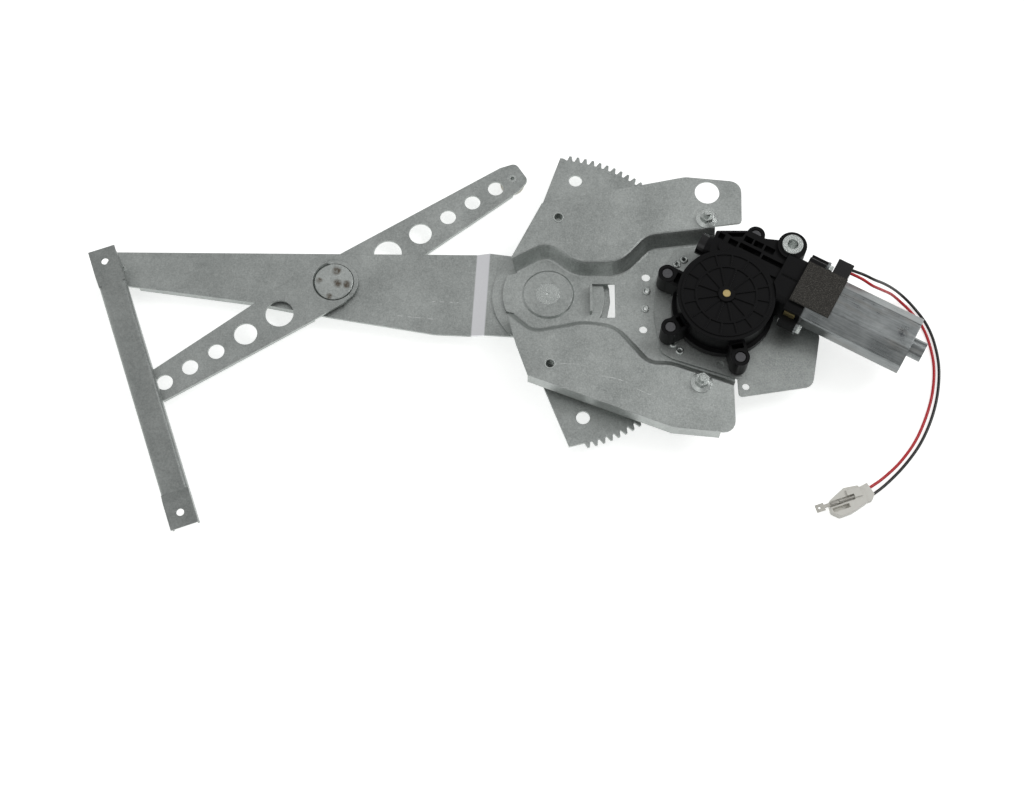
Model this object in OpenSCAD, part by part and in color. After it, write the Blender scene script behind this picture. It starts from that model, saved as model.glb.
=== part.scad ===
// Cross-arm power window regulator for a vehicle door, lying flat as on a table.
// Row frame: +Z up, origin on the table under the middle of the rigid parts, +X towards the motor.
// All outlines are drawn about the main pivot, with z = 0 at the top of the plate's recessed land.

/* [Arms] */
// Length of each half arm: pivot to crossing, crossing to each end
half_arm = 173; // [150:1:200]
// Direction of the lift arm at rest, from the main pivot
lift_dir = 175.6; // [165:0.1:185]
// Direction from the crossing to the balance arm's lower end
balance_dir = -146.2; // [-160:0.1:-120]
// Sheet thickness of the arms
arm_t = 2.5; // [1.5:0.1:3.5]
// Depth of the arms' stiffening edge, with the sheet
arm_lip = 5; // [3:0.1:6]
// Height of the joggle between the lift arm's hub and its outer part
joggle_h = 3; // [2:0.1:5]

/* [Base plate] */
// Sheet thickness of the base plate
plate_t = 2; // [1.5:0.1:3]
// Height of the wings above the recessed land
wing_rise = 14; // [10:0.5:18]
// Width of the sloping wall between wing and land
wall_run = 9; // [7:0.5:12]
// Depth of the lower wing's down-turned edge
plate_lip = 15; // [8:0.5:16]
// Radius of the raised disc round the main pivot
pivot_disc_r = 21; // [16:0.5:26]

/* [Sector gear] */
// Module of the sector and pinion teeth
gear_m = 2; // [1.5:0.1:2.2]
// Teeth that a full circle of the sector would have
sector_z = 128; // [112:1:136]
// Teeth on the pinion
pinion_z = 11; // [9:1:13]
// Sheet thickness of the sector
sector_t = 3; // [2:0.1:4]
// Angle of the sector's last tooth on the upper side
sector_up = 82; // [60:1:90]
// Angle of the sector's last tooth on the lower side
sector_down = -79; // [-90:1:-60]

/* [Gearbox] */
// Direction of the pinion's axis from the main pivot
gear_dir = -5.9; // [-12:0.1:12]
// Outer radius of the gearbox cover
cover_r = 38.4; // [35:0.2:42]
// Height of the gearbox's flat top above the land
box_top = 33; // [30:0.5:38]
// Direction of the worm and motor axis
motor_dir = -28.9; // [-40:0.1:-15]
// Teeth on the worm wheel
wheel_z = 60; // [54:1:62]
// Pitch radius of the worm
worm_r = 5.6; // [5:0.1:6]

/* [Motor] */
// Width of the motor can
can_w = 46; // [40:0.5:50]
// Height of the motor can
can_h = 36; // [32:0.5:40]
// Length of the motor can
can_len = 86; // [70:1:100]
// Radius of the boss at the can's end
boss_r = 8; // [6:0.2:10]
// Diameter of each lead
lead_d = 2.4; // [2:0.1:3]

/* [Guide rail] */
// Overall length of the guide rail
rail_len = 244; // [200:1:280]
// Width of the guide rail
rail_w = 21.5; // [19:0.5:26]
// Sheet thickness of the guide rail
rail_t = 1.5; // [1.2:0.1:2]
// Distance between the rail's two fixing holes
rail_holes = 221; // [180:1:250]
// Direction of the rail, lower end
rail_dir = -70.5; // [-120:0.5:-50]

/* [Fits] */
// Radial clearance of a pin that turns in its bore
fit = 0.05; // [0.03:0.01:0.09]
// Gap between flat faces that slide past each other
gap = 0.2; // [0.1:0.05:0.3]

/* [Hidden] */
$fn = 64;
steel = "silver";
dark = "dimgray";
black = [0.08, 0.08, 0.09];

// Levels, measured from the top of the land
washer_t = 0.8;
hub_t = 2;
hub_r = 45;
hub_top = -plate_t - washer_t - gap/2;
arm_hub_top = hub_top - hub_t;
sector_top = arm_hub_top - arm_t;
sector_bot = sector_top - sector_t;
arm_top = arm_hub_top - joggle_h;
arm_bot = arm_top - arm_t;
upper_top = min(arm_bot, sector_bot) - gap;
upper_bot = upper_top - arm_t;
lower_bot = arm_top + gap + arm_lip - arm_t;
lower_top = lower_bot + arm_t;
roller_top = upper_top - arm_lip - gap;
roller_h = 6.5;
table = roller_top - roller_h;
rail_bot = lower_top + 0.5;
rail_top = wing_rise - 4;
// Where the origin of the row frame lies
origin_shift = [36.372, 35.622, -table];

// Plan positions
lift_axis = [cos(lift_dir), sin(lift_dir)];
balance_axis = [cos(balance_dir), sin(balance_dir)];
cross = half_arm*lift_axis;
stud_a = 2*half_arm*lift_axis;
stud_b = cross + half_arm*balance_axis;
stud_d = cross - half_arm*balance_axis;
gear_cd = gear_m*(sector_z + pinion_z)/2;
gear = gear_cd*[cos(gear_dir), sin(gear_dir)];
motor_axis = [cos(motor_dir), sin(motor_dir)];
motor_side = [-motor_axis[1], motor_axis[0]];
worm_m = 1;
worm_cd = worm_m*wheel_z/2 + worm_r;
worm_mid = gear + worm_cd*motor_side;
axis_z = 20;

function unit(v) = v/norm(v);
function ring(r, a0, a1, n) = [for (i = [0:n]) let (a = a0 + (a1 - a0)*i/n) r*[cos(a), sin(a)]];
function shift(pts, v) = [for (p = pts) p + v];

// One corner of an outline, rounded to radius r with n steps
function corner(a, b, c, r, n = 5) = let (
    u = unit(a - b), w = unit(c - b), half = acos(u*w)/2, reach = r/tan(half),
    mid = b + unit(u + w)*r/sin(half), s = b + u*reach - mid, e = b + w*reach - mid,
    a0 = atan2(s[1], s[0]), turn = (atan2(e[1], e[0]) - a0 + 540) % 360 - 180)
  r == 0 ? [b] : [for (i = [0:n]) mid + r*[cos(a0 + turn*i/n), sin(a0 + turn*i/n)]];
function xy(p) = [p[0], p[1]];
// A closed outline from corners given as [x, y, radius]
function rounded(p) = let (n = len(p)) [for (i = [0:n-1])
    each corner(xy(p[(i + n - 1) % n]), xy(p[i]), xy(p[(i + 1) % n]), p[i][2])];
// An open line from corners given as [x, y, radius]
function bent(p, steps = 5) = let (n = len(p)) [xy(p[0]),
    for (i = [1:n-2]) each corner(xy(p[i-1]), xy(p[i]), xy(p[i+1]), p[i][2], steps), xy(p[n-1])];
function left_of(a, b) = let (d = unit(b - a)) [-d[1], d[0]];
// Direction and stretch of the offset at point i of a line
function mitre(p, i) = let (n = len(p),
    n0 = i > 0 ? left_of(p[i-1], p[i]) : left_of(p[0], p[1]),
    n1 = i < n-1 ? left_of(p[i], p[i+1]) : n0, m = unit(n0 + n1)) m/(m*n0);
function beside(p, d) = [for (i = [0:len(p)-1]) p[i] + d*mitre(p, i)];
function backwards(p) = [for (i = [len(p)-1:-1:0]) p[i]];

// A profile of [offset to the left, height] points carried along a line in plan
module pressed(line, profile) {
  k = len(profile);
  pts = [for (i = [0:len(line)-1]) for (q = profile)
      let (p = line[i] + q[0]*mitre(line, i)) [p[0], p[1], q[1]]];
  walls = [for (i = [0:len(line)-2]) for (j = [0:k-1])
      let (j2 = (j + 1) % k) [i*k + j, i*k + j2, (i + 1)*k + j2, (i + 1)*k + j]];
  polyhedron(pts, [[for (j = [k-1:-1:0]) j], each walls, [for (j = [0:k-1]) (len(line) - 1)*k + j]]);
}
// A flat band between offsets d0 and d1 to the left of a line, h high
module strip(line, d0, d1, z0, h) {
  sheet(concat(beside(line, d0), backwards(beside(line, d1))), z0, h);
}
module sheet(outline, z0, t) {
  translate([0, 0, z0]) linear_extrude(t) polygon(outline);
}
module drill(p, r, z0, z1, fn = 48) {
  translate([p[0], p[1], z0]) cylinder(r = r, h = z1 - z0, $fn = fn);
}
// A ring turned about a vertical axis at p, from [radius, height] points
module turned(p, profile, fn = 64) {
  translate([p[0], p[1], 0]) rotate_extrude($fn = fn) polygon(profile);
}
module at_motor(s = 0, t = 0) {
  p = worm_mid + s*motor_axis + t*motor_side;
  translate([p[0], p[1], axis_z]) rotate(motor_dir) children();
}
// Turns a shape drawn in [across, up] so that it runs along the motor's axis from s
module along_motor(s, len) {
  at_motor(s) rotate([90, 0, 90]) linear_extrude(len) children();
}
module place() {
  translate(origin_shift) children();
}

// Base plate: two raised wings, a recessed land and the wavy wall between them
disc_rise = 1.6;
pin_r = 6;
pin_head_r = 8.2;
pivot_r = 6.6;
rivet_r = 2.2;
weld_nut_r = 4.5;
weld_thread_r = 3.3;
pinion_hole_r = 16;
bracket_t = 2;
pad_top = 4.2;
axle_r = 3;
cover_seat = box_top - 3;
lug_top = 24;
wheel_room_r = 33;
pinion_bore_r = 9.6;
pinion_neck_r = 9.5;
bush_r = 6;
shaft_r = 3.2;
can_s0 = 58;
can_t = 2;
hub_barrel_r = 10;
stud_hole_r = 3.6;
pin_stud_r = 4;
guide_pin_r = 4;
kidney_in = 50;
kidney_out = 104;
box_lugs = [[93.8, 8.1], [94.7, -37.6], [148.3, -62.9], [165.2, 41.5]];
boss = [192.2, 27.9];
land_rivets = [[78.7, 2.8], [77.3, -12.3]];
bracket_rivet_spots = [[109.5, 29.7], [103.6, 25.7], [98.6, -43.4], [103.4, -49.4]];
bracket_holes = [[154.4, -79.3, 2.8], [135.1, -61, 3]];
bracket_plan = rounded([[104, 39.5, 6], [86, 12, 10], [84, -18, 14], [88, -50, 8], [98, -56, 6], [148, -72.8, 0],
  [148.5, -88, 3], [207, -79, 8], [214.5, -38, 6], [206, 28, 12], [196, 44, 10], [150, 50, 8], [137, 43, 0]]);
sector_holes = [[23.4, 105.9, 5.5], [26.7, -101.7, 5.5]];
sector_rivet_spots = [[26, 14], [26, -14], [-28, 10], [-28, -10]];
// The sector's outline: teeth, then the two straight edges that meet the hub's left side
sector_hub_r = 32;
function tooth(mid, r_root, r_tip, thin) = let (pitch = 360/sector_z, rp = gear_m*sector_z/2,
    w = pitch/4 - thin/rp*90/PI, t = w - gear_m*0.9*tan(20)/rp*180/PI, f = w + gear_m*1.2*tan(20)/rp*180/PI)
  [r_root*[cos(mid - f), sin(mid - f)], rp*[cos(mid - w), sin(mid - w)], r_tip*[cos(mid - t), sin(mid - t)],
   r_tip*[cos(mid + t), sin(mid + t)], rp*[cos(mid + w), sin(mid + w)], r_root*[cos(mid + f), sin(mid + f)]];
sector_pitch = 360/sector_z;
sector_plan = concat([for (k = [ceil((sector_down - gear_dir)/sector_pitch):floor((sector_up - gear_dir)/sector_pitch)])
    each tooth(gear_dir + k*sector_pitch, gear_m*(sector_z/2 - 1.25), gear_m*(sector_z/2 + 0.9), 0.15)],
  [[13.5, 126.4], [11, 126.6]], ring(sector_hub_r, 160, 205, 8), [[15.5, -125.5], [18.5, -124.8]]);
// Lift arm in plan: the hub's round end, then the tapering outer part
arm_hub_plan = concat(ring(40, -120, 120, 20), [[-47, 38.4], [-50, -32.5]]);
joggle_in = [[-47, 38.4], [-46.8, 38.4], [-49.8, -32.5], [-50, -32.5]];
joggle_out = [[-57, 38.4], [-56.8, 38.4], [-62.8, -32.2], [-63, -32.2]];
arm_plan = rounded([[-56.9, 38.4, 0], [-353, 41, 3], [-360, 26, 4], [-354, 14, 3], [-337, 10.9, 0], [-238.6, -3.1, 0],
  [-174.1, -16.4, 0], [-90.5, -31, 20], [-62.9, -32.2, 0]]);
arm_lip_line = [[-330, 9.9], [-238.6, -3.1], [-203, -10.4]];
lower_plan = rounded([[14, 20.5, 0], [170, 12.4, 3], [183, 9, 5], [183, -10, 5], [170, -13.6, 3], [20, -20.8, 0],
  [0, -21, 12], [-21, 0, 12], [0, 21, 12]]);
lower_lip_line = [[30, 19.8], [165, 12.8]];
upper_plan = rounded([[14, -20.5, 0], [170, -12.4, 3], [183, -9, 5], [183, 10, 5], [170, 13.6, 3], [20, 20.8, 0],
  [0, 21, 12], [-21, 0, 12], [0, -21, 12]]);
upper_lip_line = [[30, -19.8], [165, -12.8]];
upper_wave = bent([[-29.5, 26.8, 0], [0, 43, 20], [24, 24, 22], [57, 24, 22], [79, 47.5, 22], [134, 54, 0]]);
lower_wave = bent([[-32.9, -23, 0], [-14, -39.5, 20], [27, -31.5, 30], [50, -34, 22], [76, -65.5, 20],
    [95, -66, 30], [143.5, -83, 0]]);
function s_curve(x) = x*x*(3 - 2*x);
function s_slope(x) = 6*x*(1 - x);
wall_steps = 8;
wall_line = [for (i = [0:wall_steps]) let (x = i/wall_steps) [x*wall_run, wing_rise*(1 - s_curve(x))]];
wall_back = [for (i = [wall_steps:-1:0]) let (x = i/wall_steps,
    n = unit([wing_rise*s_slope(x)/wall_run, 1])) wall_line[i] - plate_t*n];
wall_profile = concat(wall_line, wall_back);
wing_corner = [143.5, -122];
lower_edge = [[-16.8, -74.2], [94.9, -117.1], [94.9, -117.1] + 0.76*(wing_corner - [94.9, -117.1])];
wing_hole = [129, 84.1];
nut_up = [127.6, 60.5];
nut_down = [118.4, -80.5];
weld_up = [8.4, 61.9];
weld_down = [0.6, -64.6];
stud_r = 3;
upper_wing = concat(backwards(upper_wave), [[-5, 74.3]], corner([-5, 74.3], [111.4, 98], [157, 94], 20),
  corner([111.4, 98], [157, 93.5], [156, 56.5], 10), corner([157, 93.5], [155.8, 56.8], [134, 54], 3));
lower_wing = concat(lower_wave, corner([143.5, -83], wing_corner, [94.9, -117.1], 9),
  [[94.9, -117.1], [-16.8, -74.2], [-26, -47.9]]);
land_end = 150;
land = concat(backwards(beside(upper_wave, -wall_run)), ring(36.5, 152, 203, 6),
  beside(lower_wave, wall_run));
window = [34.9, -19.9, 18.5, 29.3];
land_holes = [[78.6, 15.1, 3.4], [75.3, -30.1, 3.2]];
module base_plate() place() color(steel) difference() {
  union() {
    sheet(upper_wing, wing_rise - plate_t, plate_t);
    sheet(lower_wing, wing_rise - plate_t, plate_t);
    sheet(land, -plate_t, plate_t);
    pressed(backwards(upper_wave), wall_profile);
    pressed(lower_wave, wall_profile);
    strip(lower_edge, 0, plate_t, wing_rise - plate_lip, plate_lip - plate_t/2);
    turned([0, 0], [[9.4, -0.5], [9.4, disc_rise], [pivot_disc_r - 1.5, disc_rise], [pivot_disc_r, 0], [pivot_disc_r, -0.5]]);
    window_tab();
  }
  drill(wing_hole, 10, 0, wing_rise + 1);
  for (p = [weld_up, weld_down]) drill(p, weld_nut_r, 0, wing_rise + 1);
  for (p = [nut_up, nut_down]) drill(p, stud_r, 0, wing_rise + 1);
  for (h = land_holes) drill(xy(h), h[2], -plate_t - 1, 1);
  for (p = concat(land_rivets, bracket_rivet_spots)) drill(p, rivet_r, -plate_t - 1, 1);
  for (p = [box_lugs[0], box_lugs[1]]) drill(p, 2.2, -plate_t - 1, 1);
  drill([0, 0], pivot_r, -plate_t - 1, disc_rise + 1);
  drill(gear, pinion_hole_r, -plate_t - 1, 1);
  sheet([for (c = [[0, 0], [1, 0], [1, 1], [0, 1]]) [window[0] + c[0]*window[2], window[1] + c[1]*window[3]]],
    -plate_t - 1, plate_t + 2);
}
// The tab that was cut from the window and bent up at its left
module window_tab() {
  translate([window[0] - plate_t, window[1] + 3, -plate_t]) cube([plate_t, window[3] - 6, 9]);
}
module motor_bracket() place() color(steel) difference() {
  sheet(bracket_plan, 0, bracket_t);
  drill(boss, bush_r, -1, bracket_t + 1);
  drill(gear, pinion_hole_r, -1, pad_top);
  for (p = box_lugs) drill(p, 2.2, -1, pad_top + 1);
  for (h = bracket_holes) drill(xy(h), h[2], -1, pad_top);
  for (p = bracket_rivet_spots) drill(p, rivet_r, -1, bracket_t + 1);
}
module bracket_rivets() place() color(steel) {
  for (p = bracket_rivet_spots) rivet(p, bracket_t);
  for (p = land_rivets) rivet(p, 0);
}
// A tubular rivet whose rim is rolled over on top, with its flat head under the land
module rivet(p, top) {
  turned(p, [[1.4, -plate_t - 0.8], [rivet_r + 2, -plate_t - 0.8], [rivet_r + 2, -plate_t], [rivet_r, -plate_t],
      [rivet_r, top], [rivet_r + 1.2, top], [rivet_r + 0.9, top + 1], [rivet_r, top + 1.4], [1.4, top + 1]], 32);
}
module fixing_studs() place() color(steel) for (p = [nut_up, nut_down])
  turned(p, [[0, wing_rise - plate_t - 1.6], [5.4, wing_rise - plate_t - 1.6], [5.4, wing_rise - plate_t],
      [stud_r, wing_rise - plate_t], [stud_r, wing_rise + 11], [stud_r - 0.6, wing_rise + 12], [0, wing_rise + 12]], 48);
module flange_nuts() place() color(steel) for (p = [nut_up, nut_down]) difference() {
  union() {
    turned(p, [[0, wing_rise], [8.6, wing_rise], [8.6, wing_rise + 0.8], [5.6, wing_rise + 2.6], [0, wing_rise + 2.6]], 48);
    translate([p[0], p[1], wing_rise + 2]) rotate(17) cylinder(r = 5.8, h = 5.6, $fn = 6);
  }
  drill(p, stud_r, wing_rise - 1, wing_rise + 9);
}
module weld_nuts() place() color(steel) for (p = [weld_up, weld_down])
  turned(p, [[weld_thread_r, wing_rise - plate_t - 7], [6.5, wing_rise - plate_t - 7], [6.5, wing_rise - plate_t],
      [weld_nut_r, wing_rise - plate_t], [weld_nut_r, wing_rise + 0.3], [weld_thread_r, wing_rise + 0.3]], 48);
// The pivot pin: riveted over above the plate, countersunk under the sector
module pivot_pin() place() color(steel)
  turned([0, 0], [[0, sector_bot], [pin_head_r, sector_bot], [pin_r, sector_bot + 2.2], [pin_r, -plate_t],
      [pivot_r, -plate_t], [pivot_r, disc_rise - 0.6], [9.4, disc_rise - 0.6], [9.4, disc_rise], [1.2, disc_rise],
      [1.2, disc_rise - 0.5], [0, disc_rise - 0.8]]);
module pivot_washer() place() color(dark)
  turned([0, 0], [[pin_r + fit, -plate_t - washer_t], [18, -plate_t - washer_t], [18, -plate_t], [pin_r + fit, -plate_t]]);

// Gearbox
module gearbox_housing() place() color(black) difference() {
  union() {
    drill(gear, cover_r - 1, bracket_t + 1.5, cover_seat, 96);
    for (p = box_lugs) lug(p);
    along_motor(-34, 66) square([27, 25], center = true);
    bolt_boss();
    along_motor(28, 16) rounded_square(44, 34, 5);
    arm_web();
  }
  drill(gear, wheel_room_r, bracket_t + 4, cover_seat + 1, 96);
  along_motor(-40, 90) circle(r = 8.2, $fn = 48);
  along_motor(30, 20) circle(r = 15, $fn = 64);
  drill(gear, pinion_bore_r, 0, bracket_t + 5);
  for (p = box_lugs) {
    drill(p, 2.2, 0, lug_top + 1);
    drill(p, 4.6, lug_top - 2.4, lug_top + 1);
  }
  drill(boss, bush_r, 0, box_top + 2);
  drill(boss, 8.4, box_top, box_top + 9);
  drill(gear, cover_r + 0.1, cover_seat, box_top + 9, 96);
}
module rounded_square(w, h, r) {
  polygon(rounded([[-w/2, -h/2, r], [w/2, -h/2, r], [w/2, h/2, r], [-w/2, h/2, r]]));
}
module lug(p) {
  drill(p, 3.5, bracket_t, bracket_t + 3);
  hull() {
    drill(p, 6.2, bracket_t + 2.2, lug_top, 32);
    drill(gear + unit(p - gear)*(cover_r - 6), 8, bracket_t + 2.2, lug_top, 32);
  }
}
module bolt_boss() {
  drill(boss, 11.6, 6, box_top, 64);
}
module arm_web() {
  at_motor(14, 8) translate([0, 0, -6]) linear_extrude(12) square([28, 30], center = true);
}
module gearbox_cover() place() color(black) {
  difference() {
    union() {
      drill(gear, cover_r, cover_seat, box_top, 128);
      turned(gear, [[cover_r - 3, box_top], [cover_r - 3, box_top + 1], [cover_r - 4.6, box_top + 1],
          [cover_r - 4.6, box_top]], 96);
      turned(gear, [[24.6, box_top], [24.6, box_top + 1], [23, box_top + 1], [23, box_top]], 96);
      for (i = [0:11]) translate([gear[0], gear[1], box_top]) rotate(8 + i*30) translate([7, -0.7, 0])
        cube([16.5, 1.4, 1]);
      for (i = [0:15]) translate([gear[0], gear[1], box_top]) rotate(12 + i*22.5) translate([24, -0.6, 0])
        cube([10, 1.2, 1]);
      turned(gear, [[axle_r, box_top], [7.2, box_top], [6.6, box_top + 2], [axle_r, box_top + 2]], 48);
    }
    drill(gear, axle_r, cover_seat - 1, box_top + 3);
  }
}
module gearbox_screws() place() color(dark) for (p = box_lugs)
  turned(p, [[0, -plate_t], [2.2, -plate_t], [2.2, lug_top - 2.4], [4, lug_top - 2.4], [4, lug_top - 0.4], [0, lug_top - 0.4]], 32);
module worm_end_cap() place() color(black) at_motor(-40) rotate([90, 0, 90]) {
  linear_extrude(6) circle(r = 9);
  translate([0, 0, 4]) linear_extrude(4) circle(r = 8.2);
}
module wheel_axle() place() color("gold")
  drill(gear, axle_r, bracket_t + 1.5, box_top + 2.6, 32);
module through_bolt() place() color(steel) difference() {
  union() {
    drill(boss, bush_r, 0, box_top + 1.2);
    drill(boss, 8.2, box_top, box_top + 2.4);
  }
  drill(boss, 4.2, -1, box_top + 3);
}

// Motor
can_outline = rounded([[-can_w/2, -can_h*0.2, 5], [-can_w*0.26, -can_h/2, 3], [can_w*0.26, -can_h/2, 3],
  [can_w/2, -can_h*0.2, 5], [can_w/2, can_h*0.2, 5], [can_w*0.26, can_h/2, 3], [-can_w*0.26, can_h/2, 3],
  [-can_w/2, can_h*0.2, 5]]);
can_inner = rounded([[-can_w/2 + can_t, -can_h*0.2, 4], [-can_w*0.24, -can_h/2 + can_t, 3], [can_w*0.24, -can_h/2 + can_t, 3],
  [can_w/2 - can_t, -can_h*0.2, 4], [can_w/2 - can_t, can_h*0.2, 4], [can_w*0.24, can_h/2 - can_t, 3],
  [-can_w*0.24, can_h/2 - can_t, 3], [-can_w/2 + can_t, can_h*0.2, 4]]);
module motor_can() place() color(steel) difference() {
  union() {
    along_motor(can_s0, can_len) polygon(can_outline);
    along_motor(can_s0 + can_len, 11) circle(r = boss_r);
    for (side = [-1, 1]) at_motor(can_s0, side*29) rotate([90, 0, 90]) linear_extrude(2) circle(r = 5.5);
    along_motor(can_s0, 2) square([62, 9], center = true);
  }
  along_motor(can_s0 - 1, can_len - can_t + 1) polygon(can_inner);
  along_motor(can_s0 + can_len - 4, 11) circle(r = 5);
  for (side = [-1, 1]) at_motor(can_s0 - 1, side*29) rotate([90, 0, 90]) cylinder(r = 2.1, h = 5);
}
module brush_carrier() place() color(black) difference() {
  union() {
    along_motor(44, can_s0 - 44) rounded_square(50, 34, 4);
    along_motor(44, can_s0 - 44) square([64, 10], center = true);
  }
  along_motor(43, can_s0 - 40) circle(r = 15);
  for (side = [-1, 1]) at_motor(43, side*29) rotate([90, 0, 90]) cylinder(r = 2.1, h = 20);
}
module brass_contacts() place() color("darkkhaki") {
  at_motor(50, -25.4) translate([0, 0, 8.2]) cube([9, 0.8, 6], center = true);
  at_motor(50, 25.4) translate([0, 0, 8.2]) cube([7, 0.8, 6], center = true);
}
module motor_screws() place() color(steel) for (side = [-1, 1])
  at_motor(43.5, side*29) rotate([90, 0, 90]) {
    cylinder(r = 2.1, h = can_s0 - 43.5 + 2);
    translate([0, 0, can_s0 - 43.5 + 2]) cylinder(r = 4, h = 3, $fn = 6);
  }
module foam_pad() place() color([0.22, 0.2, 0.18])
  at_motor(61.5) translate([-16.5, -18, can_h/2]) cube([33, 36, 2.5]);
module lead_exit() place() color(black) difference() {
  at_motor(64, can_w/2) translate([0, 0, -3]) cube([13, 14, 12]);
  for (k = [0, 1]) at_motor(72, 31.5 + 3*k) translate([0, 0, 5]) rotate([0, 90, 0]) cylinder(r = lead_d/2, h = 20);
}
module motor_magnets() place() color(dark) for (side = [0, 180])
  along_motor(can_s0 + 14, 50) rotate(side) polygon(concat(ring(15.9, -48, 48, 12), ring(13.6, 48, -48, 12)));
module motor_brushes() place() color(dark) for (side = [-1, 1])
  at_motor(51, side*8.9) cube([6, 5, 4], center = true);
module shaft_bearings() place() color("goldenrod") {
  for (s = [-32, 26]) along_motor(s, 5) difference() { circle(r = 8.2); circle(r = shaft_r + fit); }
  along_motor(can_s0 + can_len - 2, 5) difference() { circle(r = 5); circle(r = shaft_r + fit); }
}

// Leads and plug
red_route = [[233.7, 9.7, 25], [238, 7.3, 25], [247, 3, 24], [256, 0, 18], [266, 1, 7], [276, 3, -6], [285, 1, -16],
  [294, -6, -20.6], [302, -18, -21], [307, -34, -21], [309, -54, -21], [306, -76, -21], [299, -97, -21],
  [289, -117, -21], [276, -134, -21], [262, -147, -20.6], [251, -155, -19], [245.6, -158.2, -18.6]];
black_route = [[235.1, 12.3, 25], [239.5, 9.9, 25], [249, 6.5, 24], [258, 5, 18], [268, 6.5, 7], [279, 7, -6], [289, 4, -16],
  [298, -4, -20.6], [306, -17, -21], [311, -33, -21], [313, -54, -21], [310, -77, -21], [303, -99, -21],
  [292.5, -119.5, -21], [279, -137, -21], [265, -151, -20.6], [254, -160, -19], [247.8, -163.8, -18.6]];
module tube(pts, r, sides = 8) {
  n = len(pts);
  frames = [for (i = [0:n-1]) let (d = unit(pts[min(i + 1, n - 1)] - pts[max(i - 1, 0)]),
      side = unit(cross([0, 0, 1], d))) [side, cross(d, side)]];
  skin = [for (i = [0:n-1]) for (j = [0:sides-1]) let (a = 360*j/sides)
      pts[i] + r*(cos(a)*frames[i][0] + sin(a)*frames[i][1])];
  walls = [for (i = [0:n-2]) for (j = [0:sides-1]) let (j2 = (j + 1) % sides)
      [i*sides + j, i*sides + j2, (i + 1)*sides + j2, (i + 1)*sides + j]];
  polyhedron(skin, [[for (j = [sides-1:-1:0]) j], each walls, [for (j = [0:sides-1]) (n - 1)*sides + j]]);
}
// Points on a smooth curve through the route's own points
function smooth(p, k) = let (n = len(p)) [for (i = [0:n-2]) each let (a = p[max(i - 1, 0)], b = p[i], c = p[i + 1],
    d = p[min(i + 2, n - 1)]) [for (j = [0:k-1]) let (x = j/k)
    0.5*(2*b + (c - a)*x + (2*a - 5*b + 4*c - d)*x*x + (3*b - a - 3*c + d)*x*x*x)], p[n - 1]];
module red_lead() place() color("crimson") tube(smooth(red_route, 3), lead_d/2);
module black_lead() place() color(black) tube(smooth(black_route, 3), lead_d/2);
plug_at = [234, -166];
plug_dir = 202;
module at_plug(x = 0, y = 0) {
  translate([plug_at[0], plug_at[1], table]) rotate(plug_dir) translate([x, y, 0]) children();
}
module plug_housing() place() color("white") difference() {
  at_plug() translate([-15, -6.5, 0]) cube([24, 13, 7.5]);
  for (k = [-1, 1]) at_plug(-10, k*3) translate([0, -2.4, 1.4]) cube([23, 4.8, 4.6]);
}
module spade_terminals() place() color("silver") {
  for (k = [-1, 1]) at_plug(k > 0 ? -2 : -10, k*3) translate([0, -2.4, 3]) cube([k > 0 ? 18 : 15, 4.8, 0.8]);
}

// Gear train inside the gearbox
module gear_outline(z, m, tip, root, thin, steps = 4) {
  rp = z*m/2;
  base = rp*cos(20);
  half = 90/z - thin/rp*90/PI;
  inv_p = tan(20)*180/PI - 20;
  function flank(r) = r <= base ? half + inv_p
    : let (a = acos(base/r)) half + inv_p - (tan(a)*180/PI - a);
  radii = [for (i = [0:steps]) root + (tip - root)*i/steps];
  polygon([for (k = [0:z-1]) let (mid = k*360/z) each concat(
      [for (i = [0:steps]) let (a = mid - flank(radii[i])) radii[i]*[cos(a), sin(a)]],
      [for (i = [steps:-1:0]) let (a = mid + flank(radii[i])) radii[i]*[cos(a), sin(a)]])]);
}
module worm_wheel() place() color("ivory") difference() {
  translate([gear[0], gear[1], axis_z - 4]) rotate(motor_dir + 90) linear_extrude(8)
    gear_outline(wheel_z, worm_m, wheel_z/2 + 0.8, wheel_z/2 - 1.2, 0.5, 2);
  drill(gear, 20, axis_z, axis_z + 5);
  drill(gear, axle_r + fit, 0, box_top);
}
module drive_damper() place() color(dark)
  turned(gear, [[10, axis_z], [20, axis_z], [20, axis_z + 3.6], [10, axis_z + 3.6]]);
module pinion() place() color(steel) difference() {
  union() {
    translate([gear[0], gear[1], sector_bot - 1]) rotate(gear_dir + 180 + 180/pinion_z) linear_extrude(-sector_bot - 1.5)
      gear_outline(pinion_z, gear_m, gear_m*(pinion_z/2 + 0.9), gear_m*(pinion_z/2 - 1.25), 0.25, 5);
    drill(gear, pinion_neck_r, -3, axis_z - 4, 48);
  }
  drill(gear, axle_r + fit, -20, axis_z);
}
module worm_shaft() place() color(steel) {
  along_motor(-32, can_s0 + can_len + 36) circle(r = shaft_r);
  at_motor(-4*PI*worm_m) rotate([90, 0, 90]) worm_thread(25);
}
worm_steps = 20;
module worm_thread(len) {
  turns = len/(PI*worm_m);
  n = round(turns*worm_steps);
  prof = [[shaft_r - 0.3, -1.25], [worm_r + 1, -0.45], [worm_r + 1, 0.45], [shaft_r - 0.3, 1.25]];
  pts = [for (i = [0:n]) for (q = prof) let (a = 360*i/worm_steps)
      [q[0]*cos(a), q[0]*sin(a), q[1] + i*PI*worm_m/worm_steps]];
  walls = [for (i = [0:n-1]) for (j = [0:3]) let (j2 = (j + 1) % 4)
      [i*4 + j, i*4 + j2, (i + 1)*4 + j2, (i + 1)*4 + j]];
  polyhedron(pts, [[3, 2, 1, 0], each walls, [n*4, n*4 + 1, n*4 + 2, n*4 + 3]]);
}
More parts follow.
